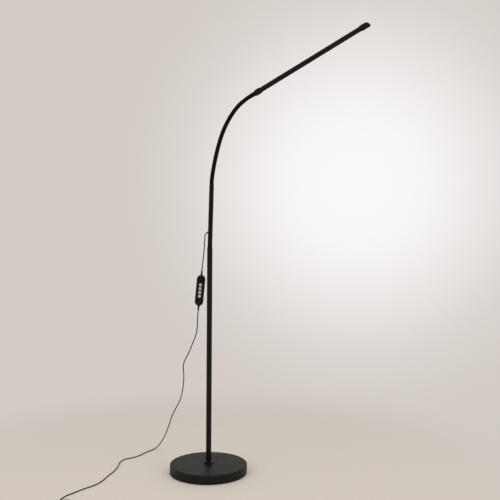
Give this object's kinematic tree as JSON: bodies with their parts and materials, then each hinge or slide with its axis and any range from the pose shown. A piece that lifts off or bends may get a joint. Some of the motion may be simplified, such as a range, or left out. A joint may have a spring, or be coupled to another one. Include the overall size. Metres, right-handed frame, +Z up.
{
  "type": "gooseneck floor lamp",
  "caption": "Reading floor lamp: round weighted foot, two-piece pole, flexible neck, slim bar light head, and a cord with an in-line button controller.",
  "frame": {"origin": "centre of the foot on the floor, on the pole axis", "axes": "+Z up along the pole, +X towards the light head, -Y towards the side that the controller buttons face"},
  "size_m": [0.8851, 0.5965, 1.35],
  "materials": {
    "base_paint": "satin black powder coat, fine texture",
    "pole_paint": "semi-gloss black paint",
    "ferrule_paint": "semi-gloss black paint",
    "cast_iron": "raw casting",
    "zinc_steel": "zinc plated sheet",
    "steel": "zinc plated",
    "black_screw": "black oxide",
    "foot_pad": "matt foam pad",
    "neck_sleeve": "matt black sleeve",
    "relief_rubber": "matt",
    "cord_sheath": "satin",
    "lead_sheath": "matt",
    "cap_plastic": "fine moulded texture",
    "housing_anodised": "black anodised extrusion",
    "diffuser": "opal",
    "led_board": "white solder mask",
    "led_phosphor": "phosphor dome",
    "controller_plastic": "fine moulded texture",
    "button_grey": "light grey, icons printed black",
    "indicator": "smoked lens",
    "circuit_board": "green solder mask",
    "switch_plastic": "moulded",
    "adapter_plastic": "fine moulded texture",
    "blade_plating": "nickel plated"
  },
  "bodies": {
    "stand": {"adapter_base": "adapter_plastic", "adapter_blades": "blade_plating", "adapter_circuit": "circuit_board", "adapter_cover": "adapter_plastic", "adapter_relief": "relief_rubber", "base_cover": "base_paint", "base_nut": "steel", "base_pad": "foot_pad", "base_plate": "zinc_steel", "base_plate_screws": "steel", "base_stud": "steel", "base_washer": "steel", "base_weight": "cast_iron", "controller_back": "controller_plastic", "controller_board": "circuit_board", "controller_front": "controller_plastic", "controller_relief_bottom": "relief_rubber", "controller_relief_top": "relief_rubber", "controller_screws": "steel", "controller_switches": "switch_plastic", "cord_coil": "cord_sheath", "cord_gland": "relief_rubber", "cord_lower": "cord_sheath", "cord_upper": "cord_sheath", "ferrule_lead": "lead_sheath", "indicator_lens": "indicator", "neck_ferrule": "ferrule_paint", "neck_plug": "pole_paint", "neck_section_00": "neck_sleeve", "pole_collar": "pole_paint", "pole_inserts": "steel", "pole_joint_stud": "steel", "pole_lower": "pole_paint", "pole_upper": "pole_paint"},
    "neck_01": {"neck_section_01": "neck_sleeve"},
    "neck_02": {"neck_section_02": "neck_sleeve"},
    "neck_03": {"neck_section_03": "neck_sleeve"},
    "neck_04": {"neck_section_04": "neck_sleeve"},
    "neck_05": {"neck_section_05": "neck_sleeve"},
    "neck_06": {"neck_section_06": "neck_sleeve"},
    "neck_07": {"neck_section_07": "neck_sleeve"},
    "neck_08": {"neck_section_08": "neck_sleeve"},
    "neck_09": {"neck_section_09": "neck_sleeve"},
    "neck_10": {"neck_section_10": "neck_sleeve", "neck_end_fitting": "ferrule_paint", "swivel_washer": "steel", "swivel_nut": "steel"},
    "head": {"head_near_cap": "cap_plastic", "head_far_cap": "cap_plastic", "head_cap_screws": "black_screw", "head_housing": "housing_anodised", "head_diffuser": "diffuser", "led_board": "led_board", "led_chips": "led_phosphor", "head_lead": "lead_sheath"},
    "power_button": {"button_power": "button_grey"},
    "tone_button": {"button_tone": "button_grey"},
    "brighter_button": {"button_brighter": "button_grey"},
    "dimmer_button": {"button_dimmer": "button_grey"}
  },
  "joints": [
    {"name": "neck_lower_bend", "type": "hinge", "parent": "stand", "child": "neck_01", "pos_m": [0.00454, 0, 0.8741], "axis": [0, 1, 0], "range_deg": [-22, 22]},
    {"name": "neck_lower_sway", "type": "hinge", "parent": "neck_01", "child": "neck_02", "pos_m": [0.00854, 0, 0.90416], "axis": [0.9881, 0, -0.1541], "range_deg": [-20, 20]},
    {"name": "neck_bend_03", "type": "hinge", "parent": "neck_02", "child": "neck_03", "pos_m": [0.01385, 0, 0.93399], "axis": [0, 1, 0], "range_deg": [-22, 22]},
    {"name": "neck_sway_04", "type": "hinge", "parent": "neck_03", "child": "neck_04", "pos_m": [0.02043, 0, 0.96356], "axis": [0.9713, 0, -0.238], "range_deg": [-20, 20]},
    {"name": "neck_bend_05", "type": "hinge", "parent": "neck_04", "child": "neck_05", "pos_m": [0.02827, 0, 0.99283], "axis": [0, 1, 0], "range_deg": [-22, 22]},
    {"name": "neck_upper_sway", "type": "hinge", "parent": "neck_05", "child": "neck_06", "pos_m": [0.03797, 0, 1.02152], "axis": [0.9299, 0, -0.3679], "range_deg": [-20, 20]},
    {"name": "neck_upper_bend", "type": "hinge", "parent": "neck_06", "child": "neck_07", "pos_m": [0.05055, 0, 1.04907], "axis": [0, 1, 0], "range_deg": [-22, 22]},
    {"name": "neck_sway_08", "type": "hinge", "parent": "neck_07", "child": "neck_08", "pos_m": [0.06588, 0, 1.07519], "axis": [0.8351, 0, -0.5501], "range_deg": [-20, 20]},
    {"name": "neck_bend_09", "type": "hinge", "parent": "neck_08", "child": "neck_09", "pos_m": [0.0846, 0, 1.09896], "axis": [0, 1, 0], "range_deg": [-22, 22]},
    {"name": "neck_sway_10", "type": "hinge", "parent": "neck_09", "child": "neck_10", "pos_m": [0.10745, 0, 1.11879], "axis": [0.5811, 0, -0.8138], "range_deg": [-20, 20]},
    {"name": "head_swivel", "type": "hinge", "parent": "neck_10", "child": "head", "pos_m": [0.13196, 0, 1.13455], "axis": [0.849, 0, 0.5284], "range_deg": [-90, 90]},
    {"name": "power_press", "type": "slide", "parent": "stand", "child": "power_button", "axis": [0, 1, 0], "range_m": [0, 0.0005], "stiffness_N_per_m": 1500},
    {"name": "tone_press", "type": "slide", "parent": "stand", "child": "tone_button", "axis": [0, 1, 0], "range_m": [0, 0.0005], "stiffness_N_per_m": 1500},
    {"name": "brighter_press", "type": "slide", "parent": "stand", "child": "brighter_button", "axis": [0, 1, 0], "range_m": [0, 0.0005], "stiffness_N_per_m": 1500},
    {"name": "dimmer_press", "type": "slide", "parent": "stand", "child": "dimmer_button", "axis": [0, 1, 0], "range_m": [0, 0.0005], "stiffness_N_per_m": 1500}
  ],
  "couplings": [
    {"joint": "neck_bend_03", "follows": "neck_lower_bend", "ratio": 1},
    {"joint": "neck_sway_04", "follows": "neck_lower_sway", "ratio": 1},
    {"joint": "neck_bend_05", "follows": "neck_lower_bend", "ratio": 1},
    {"joint": "neck_sway_08", "follows": "neck_upper_sway", "ratio": 1},
    {"joint": "neck_bend_09", "follows": "neck_upper_bend", "ratio": 1},
    {"joint": "neck_sway_10", "follows": "neck_upper_sway", "ratio": 1}
  ]
}
